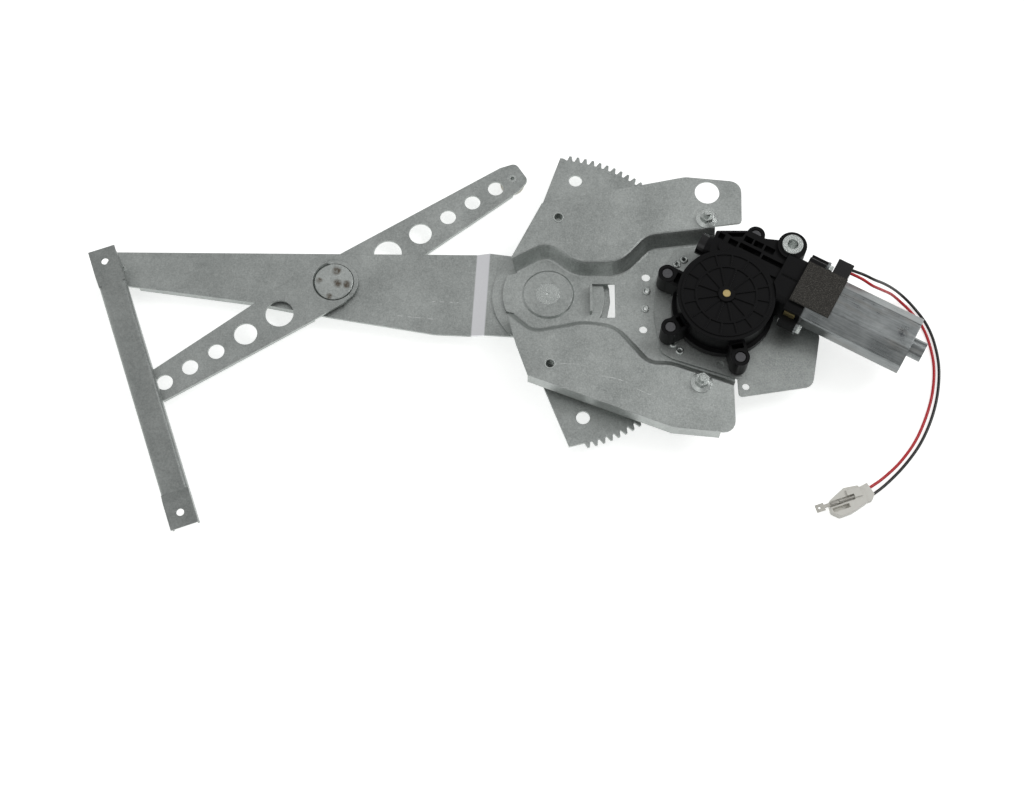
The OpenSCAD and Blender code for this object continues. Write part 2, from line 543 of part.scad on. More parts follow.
module armature_core() place() color(dark)
  along_motor(can_s0 + 16, 46) difference() {
    circle(r = 13);
    circle(r = shaft_r);
    for (i = [0:7]) rotate(i*45) translate([7, -1.2]) square([8, 2.4]);
  }
module commutator() place() color("peru") along_motor(46, 12) difference() {
  circle(r = 6.2);
  circle(r = shaft_r);
}

// Arms
module lift_arm() place() color(steel) difference() {
  union() {
    sheet(arm_hub_plan, sector_top, arm_t);
    sheet(arm_plan, arm_bot, arm_t);
    joggle();
    strip(arm_lip_line, 0, arm_t, arm_top - arm_lip - 2, arm_lip + 1);
  }
  drill([0, 0], pin_r + fit, -20, 0);
  drill(cross, hub_barrel_r + fit, -20, 0);
  drill(stud_a, stud_hole_r, -20, 0);
  for (p = sector_rivet_spots) drill(p, rivet_r, -20, 0);
}
module joggle() {
  hull() {
    sheet(joggle_in, sector_top, arm_t);
    sheet(joggle_out, arm_bot, arm_t);
  }
}
module hub_plate() place() color(steel) difference() {
  drill([0, 0], hub_r, hub_top - hub_t, hub_top, 96);
  drill([0, 0], pin_r + fit, -20, 0);
  for (p = sector_rivet_spots) drill(p, rivet_r, -20, 0);
}
module sector_gear() place() color(steel) difference() {
  sheet(sector_plan, sector_bot, sector_t);
  kidney();
  for (h = sector_holes) drill(xy(h), h[2], -20, 0);
  turned([0, 0], [[0, sector_bot - 1], [pin_head_r + fit, sector_bot - 1], [pin_head_r + fit, sector_bot],
      [pin_r + fit, sector_bot + 2.2 + fit], [pin_r + fit, 0], [0, 0]]);
  for (p = sector_rivet_spots) drill(p, rivet_r, -20, 0);
}
module kidney() {
  sheet(rounded(concat([for (a = [-60:10:66]) [kidney_out*cos(a), kidney_out*sin(a), 0]],
    [for (a = [66:-14:-60]) [kidney_in*cos(a), kidney_in*sin(a), 0]])), sector_bot - 1, sector_t + 2);
}
module sector_rivets() place() color(steel) for (p = sector_rivet_spots)
  drill(p, rivet_r, sector_bot, hub_top, 24);
module arm_stud(p, top, foot, bore) {
  turned(p, [[0, table + 1], [pin_stud_r, table + 1], [pin_stud_r, foot], [bore, foot], [bore, top],
      [1.6, top], [1.6, top - 3], [0, top - 3]], 48);
}
module lift_arm_stud() place() color(steel) union() {
  arm_stud(stud_a, arm_top, arm_bot, stud_hole_r);
  turned(stud_a, [[pin_stud_r, roller_top + gap], [7.5, roller_top + gap], [7.5, arm_bot], [pin_stud_r, arm_bot]], 48);
}
module balance_arm_stud() place() color(steel) union() {
  arm_stud(stud_d, upper_top, upper_bot, stud_hole_r);
  turned(stud_d, [[pin_stud_r, roller_top + gap], [7.5, roller_top + gap], [7.5, upper_bot], [pin_stud_r, upper_bot]], 48);
}
module roller(p) {
  turned(p, [[pin_stud_r + fit, table], [8, table], [10, table + 1.2], [10, roller_top - 1.2], [8, roller_top],
      [pin_stud_r + fit, roller_top]]);
}
module lift_arm_roller() place() color("ivory") roller(stud_a);
module balance_arm_roller() place() color("ivory") roller(stud_d);

// Balance arm, in its own frame: x along the arm from the crossing, z as in the others
module on_balance(turn = 0) {
  translate([cross[0], cross[1], 0]) rotate(balance_dir + turn) children();
}
arm_holes = [[51, 0, 11.3], [82.5, 0, 9.3], [109.5, 0, 6.5], [133.5, 0, 6.5], [156.5, 0, 6.5]];
dish_z = arm_top + gap + 1.6;
module balance_arm_lower() place() color(steel) on_balance() difference() {
  union() {
    sheet(lower_plan, lower_bot, arm_t);
    turned([0, 0], [[0, arm_top + gap], [17, arm_top + gap], [19.6, lower_bot + 0.5], [0, lower_bot + 0.5]]);
    strip(lower_lip_line, -arm_t, 0, arm_top + 2*gap, arm_lip - 1);
  }
  for (h = arm_holes) drill(xy(h), h[2], -20, 0);
  drill([half_arm, 0], guide_pin_r, -20, 0);
  drill([0, 0], hub_barrel_r, -20, 0);
  turned([0, 0], [[0, dish_z], [15.6, dish_z], [17.6, lower_top + 1], [0, lower_top + 1]]);
}
module balance_arm_upper() place() color(steel) on_balance(180) difference() {
  union() {
    sheet(upper_plan, upper_bot, arm_t);
    strip(upper_lip_line, 0, arm_t, upper_top - arm_lip, arm_lip - 1);
  }
  for (h = arm_holes) drill(xy(h), h[2], -20, 0);
  drill([0, 0], hub_barrel_r, -20, 0);
  drill([half_arm, 0], stud_hole_r, -20, 0);
}
module cross_hub() place() color(steel)
  turned(cross, [[0, upper_bot - 1], [14, upper_bot - 1], [14, upper_bot], [hub_barrel_r, upper_bot],
      [hub_barrel_r, dish_z], [15.4, dish_z], [15.6, lower_top - 1.6], [14.8, lower_top - 1], [0, lower_top - 1]]);
module guide_pin() place() color(steel)
  turned(stud_b, [[0, lower_bot - 1.4], [6.5, lower_bot - 1.4], [6.5, lower_bot], [guide_pin_r, lower_bot],
      [guide_pin_r, rail_top - rail_t - 1.2], [0, rail_top - rail_t - 1.2]], 48);

// Guide rail, in its own frame: x along the rail towards its lower end, centred on the guide pin
module on_rail() {
  translate([stud_b[0], stud_b[1], 0]) rotate(rail_dir) children();
}
rail_mid = -2;
shoe_len = 26;
shoe_w = rail_w - 2*rail_t - 0.6;
shoe_low = rail_bot + rail_t + 0.3;
shoe_high = rail_top - rail_t - 0.3;
shoe_section = [[-shoe_w/2, shoe_low], [shoe_w/2, shoe_low], [shoe_w/2, shoe_high - 2], [shoe_w/2 - 2, shoe_high],
  [2 - shoe_w/2, shoe_high], [-shoe_w/2, shoe_high - 2]];
module slide_shoe() place() color("ivory") on_rail() difference() {
  rotate([90, 0, 90]) translate([0, 0, -shoe_len/2]) linear_extrude(shoe_len) polygon(shoe_section);
  drill([0, 0], guide_pin_r + fit, -20, rail_top);
}
rail_gap = 11;
tab_len = 30;
module guide_rail() place() color(steel) on_rail() difference() {
  translate([rail_mid, 0, 0]) union() {
    rotate([90, 0, 90]) translate([0, 0, -rail_len/2 + tab_len]) linear_extrude(rail_len - 2*tab_len) rail_section();
    for (side = [0, 180]) rotate(side) rail_end();
  }
  for (side = [-1, 1]) drill([rail_mid + side*rail_holes/2, 0], 3, 0, wing_rise + 1);
}
module rail_section() difference() {
  polygon(rounded([[-rail_w/2, rail_bot, 1], [rail_w/2, rail_bot, 1], [rail_w/2, rail_top, 3.5], [-rail_w/2, rail_top, 3.5]]));
  polygon(rounded([[-rail_w/2 + rail_t, rail_bot + rail_t, 0.3], [rail_w/2 - rail_t, rail_bot + rail_t, 0.3],
    [rail_w/2 - rail_t, rail_top - rail_t, 2], [-rail_w/2 + rail_t, rail_top - rail_t, 2]]));
  translate([-rail_gap/2, rail_bot - 1]) square([rail_gap, 4]);
}
module rail_end() {
  rise = wing_rise - rail_top;
  translate([rail_len/2 - tab_len + 8, -rail_w/2, wing_rise - rail_t]) cube([tab_len - 8, rail_w, rail_t]);
  hull() {
    translate([rail_len/2 - tab_len + 7.8, -rail_w/2, wing_rise - rail_t]) cube([0.2, rail_w, rail_t]);
    translate([rail_len/2 - tab_len - 0.2, -rail_w/2, rail_top - rail_t]) cube([0.2, rail_w, rail_t]);
  }
  for (s = [-1, 1]) translate([rail_len/2 - tab_len, s*(rail_w/2 - rail_t/2) - rail_t/2, rail_bot])
    cube([tab_len - 4, rail_t, rail_top - rail_bot + 0.5]);
}
base_plate();
motor_bracket();
bracket_rivets();
fixing_studs();
flange_nuts();
weld_nuts();
pivot_pin();
pivot_washer();
gearbox_housing();
gearbox_cover();
gearbox_screws();
worm_end_cap();
wheel_axle();
through_bolt();
motor_can();
brush_carrier();
brass_contacts();
motor_screws();
foam_pad();
lead_exit();
motor_magnets();
motor_brushes();
shaft_bearings();
red_lead();
black_lead();
plug_housing();
spade_terminals();
worm_wheel();
drive_damper();
pinion();
worm_shaft();
armature_core();
commutator();
lift_arm();
hub_plate();
sector_gear();
sector_rivets();
lift_arm_stud();
balance_arm_lower();
balance_arm_upper();
cross_hub();
balance_arm_stud();
guide_pin();
slide_shoe();
guide_rail();
lift_arm_roller();
balance_arm_roller();
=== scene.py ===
"""Cross-arm window regulator lying on a white table, seen from in front and well above.

The camera and the routes of the two leads come first, then the finishes and the pieces made here.
The leads themselves are made once their plug is there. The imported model's frame is in metres, with
+X towards the motor and +Z up. Plan measures are in millimetres from the main pivot, and heights
from the land's top.
"""
import math
import bmesh
import bpy
import numpy as np
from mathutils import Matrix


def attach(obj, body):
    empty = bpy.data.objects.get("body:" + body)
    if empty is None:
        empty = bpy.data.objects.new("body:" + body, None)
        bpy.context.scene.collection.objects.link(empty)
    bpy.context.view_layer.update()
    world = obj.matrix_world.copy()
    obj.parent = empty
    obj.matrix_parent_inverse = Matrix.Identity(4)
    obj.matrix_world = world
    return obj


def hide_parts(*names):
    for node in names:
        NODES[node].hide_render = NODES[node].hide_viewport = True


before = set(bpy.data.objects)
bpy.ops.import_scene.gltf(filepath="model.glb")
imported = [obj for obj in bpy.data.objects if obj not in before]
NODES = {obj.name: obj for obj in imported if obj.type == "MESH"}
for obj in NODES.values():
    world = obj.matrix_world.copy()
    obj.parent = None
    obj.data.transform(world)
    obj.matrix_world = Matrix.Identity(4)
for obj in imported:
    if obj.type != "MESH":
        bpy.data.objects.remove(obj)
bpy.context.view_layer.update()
MM = 0.001
# The main pivot at the land's top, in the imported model's frame, in millimetres
ORIGIN = np.array([36.372, 35.622, 22.3])


def place(points):
    """Points from the main pivot and the land, in millimetres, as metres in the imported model's frame:
    the pivot's own place is added and the sum is scaled."""
    return (np.asarray(points, float) + ORIGIN) * MM


def show(name, data):
    """An object of that name and data, linked to the scene."""
    thing = bpy.data.objects.new(name, data)
    bpy.context.scene.collection.objects.link(thing)
    return thing


# Camera and leads

SENSOR_WIDTH, LENS = 36, 61.51
CAMERA_AT = (0.00737, -0.52640, 1.30800)
# How far the view leans from straight down, in degrees
CAMERA_LEAN = 20.2
# The farthest that the camera sees, in metres
CAMERA_REACH = 30


def add_camera():
    """The photo's view: 69.8 degrees above the table, looking along +Y and down."""
    data = bpy.data.cameras.new("camera")
    data.sensor_width = SENSOR_WIDTH
    data.lens = LENS
    data.clip_end = CAMERA_REACH
    camera = show("camera", data)
    camera.location = CAMERA_AT
    camera.rotation_euler = (math.radians(CAMERA_LEAN), 0, 0)
    bpy.context.scene.camera = camera


add_camera()

LEAD_D = 2.4
# Points on each stretch between two points of a route
LEAD_STEPS = 6
RED_ROUTE = [
    (238, 7.3, 25), (247, 3, 24), (256, 0, 18), (266, 1, 7), (276, 3, -6), (285, 1, -16),
    (294, -6, -20.6), (302, -18, -21), (307, -34, -21), (309, -54, -21), (306, -76, -21), (299, -97, -21),
    (289, -117, -21), (276, -134, -21), (262, -147, -20.6), (251, -155, -19), (245.6, -158.2, -18.6)]
BLACK_ROUTE = [
    (239.5, 9.9, 25), (249, 6.5, 24), (258, 5, 18), (268, 6.5, 7), (279, 7, -6), (289, 4, -16),
    (298, -4, -20.6), (306, -17, -21), (311, -33, -21), (313, -54, -21), (310, -77, -21), (303, -99, -21),
    (292.5, -119.5, -21), (279, -137, -21), (265, -151, -20.6), (254, -160, -19), (247.8, -163.8, -18.6)]


def smooth_route(route):
    """A curve through all the points: each stretch is the cubic whose end slopes are half the
    step between the neighbours, sampled at equal parameter steps."""
    p = place(route)
    b, c = p[:-1], p[1:]
    a = np.vstack([p[:1], p[:-2]])
    d = np.vstack([p[2:], p[-1:]])
    x = np.linspace(0, 1, LEAD_STEPS, endpoint=False)[None, :, None]
    a, b, c, d = (q[:, None, :] for q in (a, b, c, d))
    q = 0.5 * (2 * b + (c - a) * x + (2 * a - 5 * b + 4 * c - d) * x ** 2
               + (3 * b - a - 3 * c + d) * x ** 3)
    return np.vstack([q.reshape(-1, 3), p[-1:]])


def add_lead(name, route, node, finish):
    """A round lead on one smooth line, from the exit block to the back of the plug."""
    line = smooth_route(route)
    data = bpy.data.curves.new(name, "CURVE")
    data.dimensions = "3D"
    # The bevel is 1 and the points carry the radius, which keeps the curve's own box tight
    data.bevel_depth = 1.0
    data.bevel_resolution = 5
    spline = data.splines.new("POLY")
    spline.points.add(len(line) - 1)
    spline.points.foreach_set("co", np.hstack([line, np.ones((len(line), 1))]).ravel())
    spline.points.foreach_set("radius", np.full(len(line), LEAD_D / 2 * MM))
    lead = show(name, data)
    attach(lead, "base")
    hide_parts(node)
    dress(lead, finish)


# Shader maths

class Tree:
    """A node tree, with the one way in which nodes are added to it."""

    def __init__(self, tree):
        self.tree = tree

    def add(self, kind, settings=None, sockets=None):
        """A node of that kind: its settings are set first, then its sockets' values or links."""
        node = self.tree.nodes.new("ShaderNode" + kind)
        for name, value in (settings or {}).items():
            setattr(node, name, value)
        for name, value in (sockets or {}).items():
            self.feed(node.inputs[name], value)
        return node

    def feed(self, socket, value):
        """Gives a socket a plain value, or a link from a field or from another node's output."""
        if isinstance(value, Field):
            value = value.socket
        if isinstance(value, bpy.types.NodeSocket):
            self.tree.links.new(value, socket)
        else:
            socket.default_value = value


class Field:
    """A shader socket that takes part in arithmetic; each operator adds one Math node."""

    def __init__(self, tree, socket):
        self.tree = tree
        self.socket = socket

    def math(self, operation, *others):
        """The operation on this field and then the others."""
        node = self.tree.add("Math", {"operation": operation}, dict(enumerate((self,) + others)))
        return Field(self.tree, node.outputs[0])

    def flipped(self, operation, other):
        """The operation with the other value first."""
        node = self.tree.add("Math", {"operation": operation}, {0: other, 1: self})
        return Field(self.tree, node.outputs[0])

    def __add__(self, other):
        return self.math("ADD", other)

    __radd__ = __add__

    def __sub__(self, other):
        return self.math("SUBTRACT", other)

    def __rsub__(self, other):
        return self.flipped("SUBTRACT", other)

    def __mul__(self, other):
        return self.math("MULTIPLY", other)

    __rmul__ = __mul__

    def __truediv__(self, other):
        return self.math("DIVIDE", other)

    def __rtruediv__(self, other):
        return self.flipped("DIVIDE", other)

    def __pow__(self, other):
        return self.math("POWER", other)

    def clipped(self):
        """No less than 0 and no more than 1."""
        return self.math("MAXIMUM", 0.0).math("MINIMUM", 1.0)

    def ramp(self, low, high):
        """0 at low, 1 at high, straight between and flat outside."""
        return ((self - low) / (high - low)).clipped()


def largest(fields):
    """The greatest of several fields at each point."""
    most = fields[0]
    for field in fields[1:]:
        most = most.math("MAXIMUM", field)
    return most


class Finish(Tree):
    """One material: a Principled surface and the fields that drive it."""

    def __init__(self, name, metallic=0.0, roughness=0.5):
        self.material = bpy.data.materials.new(name)
        self.material.use_nodes = True
        super().__init__(self.material.node_tree)
        self.surface = self.tree.nodes["Principled BSDF"]
        self.surface.inputs["Metallic"].default_value = metallic
        self.surface.inputs["Roughness"].default_value = roughness
        self.coords = self.add("TexCoord").outputs["Object"]

    def turned(self, degrees, scale):
        """Coordinates turned about Z by that angle, and then stretched."""
        turn = (0, 0, math.radians(-degrees))
        straight = self.add("Mapping", sockets={"Rotation": turn, "Vector": self.coords}).outputs["Vector"]
        return self.add("Mapping", sockets={"Scale": scale, "Vector": straight}).outputs["Vector"]

    def noise(self, scale, detail, at=None, rough=0.5):
        """Soft lumps, so many to a metre, with finer layers over them."""
        node = self.add("TexNoise", sockets={"Scale": scale, "Detail": detail, "Roughness": rough,
                                             "Vector": at or self.coords})
        return Field(self, node.outputs[0])

    def cells(self, scale, output="Distance"):
        """Loose cells, so many to a metre: the distance to a cell's middle, or its own random shade."""
        node = self.add("TexVoronoi", sockets={"Scale": scale, "Vector": self.coords})
        return Field(self, node.outputs[output])

    def blend(self, low, high, share):
        """A colour or a link that goes from low to high as share goes from 0 to 1."""
        return self.add("Mix", {"data_type": "RGBA"}, {6: low, 7: high, 0: share}).outputs[2]

    def colour(self, low, high, share):
        """Base colour that goes from low to high as share goes from 0 to 1."""
        self.drive("Base Color", self.blend((*low, 1), (*high, 1), share))

    def over(self, colour, share):
        """Lays a colour over the base colour where share is 1."""
        below = self.surface.inputs["Base Color"].links[0].from_socket
        self.drive("Base Color", self.blend(below, (*colour, 1), share))

    def plan(self):
        """Plan coordinates in millimetres from the main pivot."""
        axes = self.add("SeparateXYZ", sockets={0: self.coords}).outputs
        return [Field(self, axes[i]) / MM - ORIGIN[i] for i in (0, 1)]

    def blot(self, centre, radius, soft=0.5):
        """1 within a radius of a point in plan, fading to 0 over that share of the radius."""
        x, y = self.plan()
        reach = ((x - centre[0]) ** 2 + (y - centre[1]) ** 2) ** 0.5
        return 1 - reach.ramp(radius * (1 - soft), radius)

    def stroke(self, start, end, width):
        """1 along a straight line in plan, fading to 0 at half the width beside it."""
        x, y = self.plan()
        way = np.subtract(end, start)
        length = float(np.hypot(*way))
        way = way / length
        along = (x - start[0]) * float(way[0]) + (y - start[1]) * float(way[1])
        beside = (x - start[0]) * float(way[1]) - (y - start[1]) * float(way[0])
        past_end = (along - along.math("MINIMUM", length).math("MAXIMUM", 0.0)).math("ABSOLUTE")
        return 1 - (beside ** 2 + past_end ** 2) ** 0.5 / (width / 2)

    def strokes(self, lines, width):
        """The same for several joined or loose lines, each clipped to 0 and 1."""
        return largest([self.stroke(a, b, width).clipped()
                        for line in lines for a, b in zip(line, line[1:])])

    def drive(self, name, value):
        """Links a field or an output to one of the surface's sockets."""
        self.feed(self.surface.inputs[name], value)

    def relief(self, field, depth, round_edges=0.0):
        """Bumps of that depth in metres, over edges that look rounded to a radius."""
        bump = self.add("Bump", sockets={"Strength": 1.0, "Distance": depth, "Height": field})
        if round_edges:
            bevel = self.add("Bevel", {"samples": 4}, {"Radius": round_edges})
            self.feed(bump.inputs["Normal"], bevel.outputs[0])
        self.drive("Normal", bump.outputs[0])


# Finishes

ZINC_DARK, ZINC_PALE = (0.25, 0.268, 0.26), (0.58, 0.61, 0.592)
# The motor's turn in plan, in degrees
MOTOR_TURN = -28.9
# Marks of use, in plan: a blot is its middle and its radius, a scratch its points
CAN_MARK = ((272.0, -49.5), 5.0)
WING_SCRATCHES = [[(9.2, -64.6), (20, -65), (30.2, -67.1)], [(41, -75), (52, -77), (61.9, -80.9)],
                  [(68, -85.8), (78.7, -90.8)]]
WING_SMUDGES = [((42.0, -85.5), 7.0), ((70.7, -70.9), 4.5)]
ARM_NICKS = [[(-122.1, -14.7), (-85.9, -18.6)], [(-93.4, -2.5), (-65.2, -3.8)]]
HUB_STAINS = [((-170.4, 22.8), 4.5), ((-184.3, 14.2), 3.2), ((-162.1, 10.7), 4.2),
              ((-175.7, 0.5), 3.2), ((-169.2, 11.6), 4.5)]
SCRATCH_W, NICK_W = 0.9, 1.0
# Painted highlight on the joggle's slope: the slope, where the light falls on it, is painted paler as a
# band: where its middle crosses the arm, how far it leans, half its width and the width of its faded edge
LIT_SLOPE_X, LIT_SLOPE_LEAN, LIT_SLOPE_HALF, LIT_SLOPE_FADE = -54.4, 0.0635, 5.8, 1.0


def zinc_steel(name, tone=1.0, rough=0.4, edge=0.0005, grain=1.0):
    """Zinc-plated pressed sheet: a fine mottled grain, soft patches and faint rolling lines."""
    f = Finish(name, metallic=0.85, roughness=rough)
    fine = f.noise(820 * grain, 3, rough=0.7).ramp(0.34, 0.66)
    frost = f.cells(520 * grain, output="Color")
    patches = f.noise(24, 4, rough=0.6).ramp(0.3, 0.7)
    lines = f.noise(60, 3, at=f.turned(-3, (1, 26, 1)))
    share = (fine * 0.38 + frost * 0.2 + patches * 0.4 + lines * 0.16 - 0.08).clipped()
    f.colour([tone * c for c in ZINC_DARK], [tone * c for c in ZINC_PALE], share)
    f.drive("Roughness", rough - 0.09 + fine * 0.12 + patches * 0.06)
    f.relief(fine * 0.6 + frost * 0.4, 0.00006, edge)
    return f


def can_steel(name):
    """Drawn motor can: smoother and bluer, with long drawing lines, brown stains and one worn mark."""
    f = Finish(name, metallic=0.9, roughness=0.26)
    lines = f.noise(70, 4, at=f.turned(MOTOR_TURN, (1, 12, 12)))
    stains = f.noise(48, 5, rough=0.65).ramp(0.35, 0.7)
    f.colour((0.11, 0.12, 0.123), (0.38, 0.4, 0.4), (lines * 0.75 + stains * 0.4 - 0.12).clipped())
    brown = f.noise(34, 4, at=f.turned(MOTOR_TURN, (1, 4, 4))).ramp(0.55, 0.75)
    f.over((0.2, 0.17, 0.14), brown * 0.35)
    worn = f.blot(*CAN_MARK, soft=0.8) * f.noise(260, 3, rough=0.8).ramp(0.42, 0.6)
    f.over((0.03, 0.03, 0.035), worn * 0.85)
    f.drive("Roughness", 0.2 + lines * 0.14 + stains * 0.1)
    f.relief(lines, 0.00004, 0.0008)
    return f


def moulded(name, low, high, rough, grain=900, depth=0.00003, edge=0.0004, shine=0.5):
    """Moulded plastic with a fine even grain and slightly uneven gloss."""
    f = Finish(name, roughness=rough)
    fine = f.noise(grain, 3)
    patches = f.noise(45, 3)
    f.colour(low, high, (fine * 0.5 + patches * 0.5).clipped())
    f.drive("Roughness", rough - 0.08 + patches * 0.12 + fine * 0.06)
    f.relief(fine, depth, edge)
    f.surface.inputs["Specular IOR Level"].default_value = shine
    return f


def insulation(name, low, high, rough):
    """A lead's smooth insulation: moulded, with a coarser and fainter grain and no edges to round."""
    return moulded(name, low, high, rough, grain=500, depth=0.00001, edge=0)


def foam(name):
    """Dark open foam: grey specks of cell walls over near black."""
    f = Finish(name, roughness=0.95)
    cell = f.cells(1100)
    specks = f.noise(1150, 2, rough=0.7).ramp(0.5, 0.64)
    f.colour((0.016, 0.015, 0.013), (0.085, 0.08, 0.07), (cell * 0.35 + specks * 0.75).clipped())
    f.relief(cell, 0.0003)
    return f


def plated(name, low, high, rough):
    """Small turned or stamped metal pieces, such as screws, terminals and pins."""
    f = Finish(name, metallic=0.9, roughness=rough)
    fine = f.noise(700, 3)
    patches = f.noise(120, 2)
    f.colour(low, high, (fine * 0.6 + patches * 0.4).clipped())
    f.drive("Roughness", rough - 0.05 + fine * 0.15)
    f.relief(fine, 0.00003, 0.0003)
    return f


def marked_plate():
    """The base plate's zinc, with long light scratches on the lower wing and two dark smudges."""
    f = zinc_steel("zinc_plate")
    broken = f.noise(300, 2).ramp(0.35, 0.6)
    f.over((0.82, 0.85, 0.83), f.strokes(WING_SCRATCHES, SCRATCH_W) * broken * 0.7)
    smudge = largest([f.blot(*spot, soft=0.9) for spot in WING_SMUDGES])
    f.over((0.1, 0.115, 0.12), smudge * f.noise(420, 3, rough=0.8).ramp(0.48, 0.66) * 0.75)
    return f


def nicked_arm_and_lit_slope():
    """The lift arm's zinc, with two rows of short light nicks, and a painted highlight: the joggle's slope
    painted paler where the light falls on it.
    """
    f = zinc_steel("zinc_arm", 1.02)
    nicks = f.noise(210, 1, at=f.turned(-6, (1, 0.2, 1))).ramp(0.5, 0.6)
    f.over((0.85, 0.87, 0.86), f.strokes(ARM_NICKS, NICK_W) * nicks * 0.7)
    # Painted highlight: a paler band over the joggle's slope, standing in for the light that falls on it
    x, y = f.plan()
    beside = (x - LIT_SLOPE_X - y * LIT_SLOPE_LEAN).math("ABSOLUTE")
    f.over((0.9, 0.9, 0.93), (1 - beside.ramp(LIT_SLOPE_HALF - LIT_SLOPE_FADE, LIT_SLOPE_HALF)) * 0.85)
    return f


def marked_hub():
    """The crimped hub: pale, with brown stains where the crimps were struck."""
    f = zinc_steel("zinc_hub", 1.12, 0.38, 0.0003)
    stain = largest([f.blot(*spot) for spot in HUB_STAINS])
    uneven = f.noise(330, 3, rough=0.7).ramp(0.25, 0.6)
    f.over((0.1, 0.075, 0.05), stain * uneven * 0.9)
    return f


FINISHES = {
    "plate": marked_plate(),
    "arm": nicked_arm_and_lit_slope(),
    "hub": marked_hub(),
    "zinc": zinc_steel("zinc_sheet"),
    "bracket": zinc_steel("zinc_bracket", 0.88),
    "rail": zinc_steel("zinc_rail", 0.78, 0.36, 0.0006),
    "bright": zinc_steel("zinc_small", 1.3, 0.26, 0.0003, grain=1.6),
    "can": can_steel("motor_can_steel"),
    "black": moulded("black_moulding", (0.002, 0.002, 0.0024), (0.006, 0.006, 0.0065), 0.4, shine=0.13),
    "glossy": moulded("black_glossy", (0.004, 0.004, 0.0045), (0.009, 0.009, 0.0095), 0.2, shine=0.4),
    "washer": moulded("washer_black", (0.012, 0.012, 0.012), (0.03, 0.03, 0.03), 0.5),
    "foam": foam("pad_foam"),
    "brass": plated("contact_brass", (0.2, 0.17, 0.07), (0.5, 0.42, 0.2), 0.4),
    "gold": plated("yellow_passivated_pin", (0.45, 0.34, 0.12), (0.75, 0.6, 0.3), 0.28),
    "bronze": plated("sintered_bronze", (0.3, 0.2, 0.1), (0.5, 0.36, 0.22), 0.5),
    "copper": plated("commutator_copper", (0.5, 0.24, 0.13), (0.75, 0.42, 0.26), 0.35),
    "dark": plated("black_oxide_steel", (0.05, 0.05, 0.055), (0.16, 0.16, 0.165), 0.4),
    "gear": plated("machined_gear_steel", (0.22, 0.22, 0.23), (0.5, 0.5, 0.52), 0.34),
    "tin": plated("tinned_terminal", (0.34, 0.33, 0.3), (0.66, 0.65, 0.6), 0.32),
    "red": insulation("red_insulation", (0.46, 0.006, 0.014), (0.62, 0.014, 0.024), 0.3),
    "blackwire": insulation("black_insulation", (0.008, 0.008, 0.008), (0.02, 0.02, 0.02), 0.28),
    "white": moulded("plug_nylon", (0.62, 0.61, 0.56), (0.78, 0.77, 0.72), 0.4, grain=400),
    "acetal": moulded("roller_acetal", (0.66, 0.64, 0.55), (0.8, 0.78, 0.7), 0.4, grain=400),
    "rubber": moulded("damper_rubber", (0.01, 0.01, 0.01), (0.03, 0.03, 0.03), 0.8, grain=700),
    "ferrite": moulded("magnet_ferrite", (0.03, 0.03, 0.032), (0.07, 0.07, 0.072), 0.7, grain=600),
}
# The nodes that wear each finish
WEARS = {
    "plate": "base_plate", "arm": "lift_arm", "hub": "cross_hub", "rail": "guide_rail",
    "bracket": "motor_bracket",
    "zinc": "hub_plate sector_gear balance_arm_lower balance_arm_upper",
    "bright": "bracket_rivets fixing_studs flange_nuts weld_nuts pivot_pin through_bolt motor_screws "
              "sector_rivets lift_arm_stud balance_arm_stud guide_pin",
    "can": "motor_can",
    "black": "gearbox_housing gearbox_cover brush_carrier", "glossy": "worm_end_cap lead_exit",
    "dark": "gearbox_screws armature_core",
    "foam": "foam_pad", "brass": "brass_contacts", "gold": "wheel_axle", "bronze": "shaft_bearings",
    "copper": "commutator", "gear": "pinion worm_shaft", "tin": "spade_terminals", "white": "plug_housing",
    "acetal": "worm_wheel slide_shoe lift_arm_roller balance_arm_roller", "rubber": "drive_damper",
    "ferrite": "motor_magnets motor_brushes", "washer": "pivot_washer",
    "red": "red_lead", "blackwire": "black_lead",
}


def dress(obj, finish):
    """Gives one finish to every slot of a piece."""
    material = FINISHES[finish].material
    if not obj.data.materials:
        obj.data.materials.append(material)
    for i in range(len(obj.data.materials)):
        obj.data.materials[i] = material


for finish_name, node_names in WEARS.items():
    for node_name in node_names.split():
        dress(NODES[node_name], finish_name)


# Outlines and solids

def rounded(corners, steps=5):
    """A closed outline from corners [x, y, radius]; each corner becomes an arc that touches both its
    sides: the arc's middle lies r / sin(half) from the corner, where half is half the corner's angle."""
    points = np.array([c[:2] for c in corners], float)
    line = []
    for i, b in enumerate(points):
        r = corners[i][2]
        if r == 0:
            line.append(b)
            continue
        u, w = points[i - 1] - b, points[(i + 1) % len(points)] - b
        u, w = u / np.linalg.norm(u), w / np.linalg.norm(w)
        half = math.acos(float(u @ w)) / 2
        mid = b + (u + w) / np.linalg.norm(u + w) * r / math.sin(half)
        start, end = b + u * r / math.tan(half) - mid, b + w * r / math.tan(half) - mid
        turn = math.atan2(start[0] * end[1] - start[1] * end[0], float(start @ end))
        a = np.linspace(0, turn, steps + 1)[:, None]
        line.extend(mid + start * np.cos(a) + np.array([-start[1], start[0]]) * np.sin(a))
    return np.array(line)


def circle(mid, r, n=48):
    """n points at equal angles round a middle: the middle plus r times the angle's cosine and sine."""
    a = np.linspace(0, 2 * np.pi, n, endpoint=False)
    return np.asarray(mid, float) + r * np.column_stack([np.cos(a), np.sin(a)])


def oblong(x0, x1, y0, y1):
    """The four corners between two limits along x and two along y."""
    return np.array([(x0, y0), (x1, y0), (x1, y1), (x0, y1)], float)


def turned_plan(points, at, degrees):
    """Plan points turned about their origin, which is then carried to a point."""
    c, s = math.cos(math.radians(degrees)), math.sin(math.radians(degrees))
    return np.asarray(points, float) @ np.array([(c, s), (-s, c)]) + at


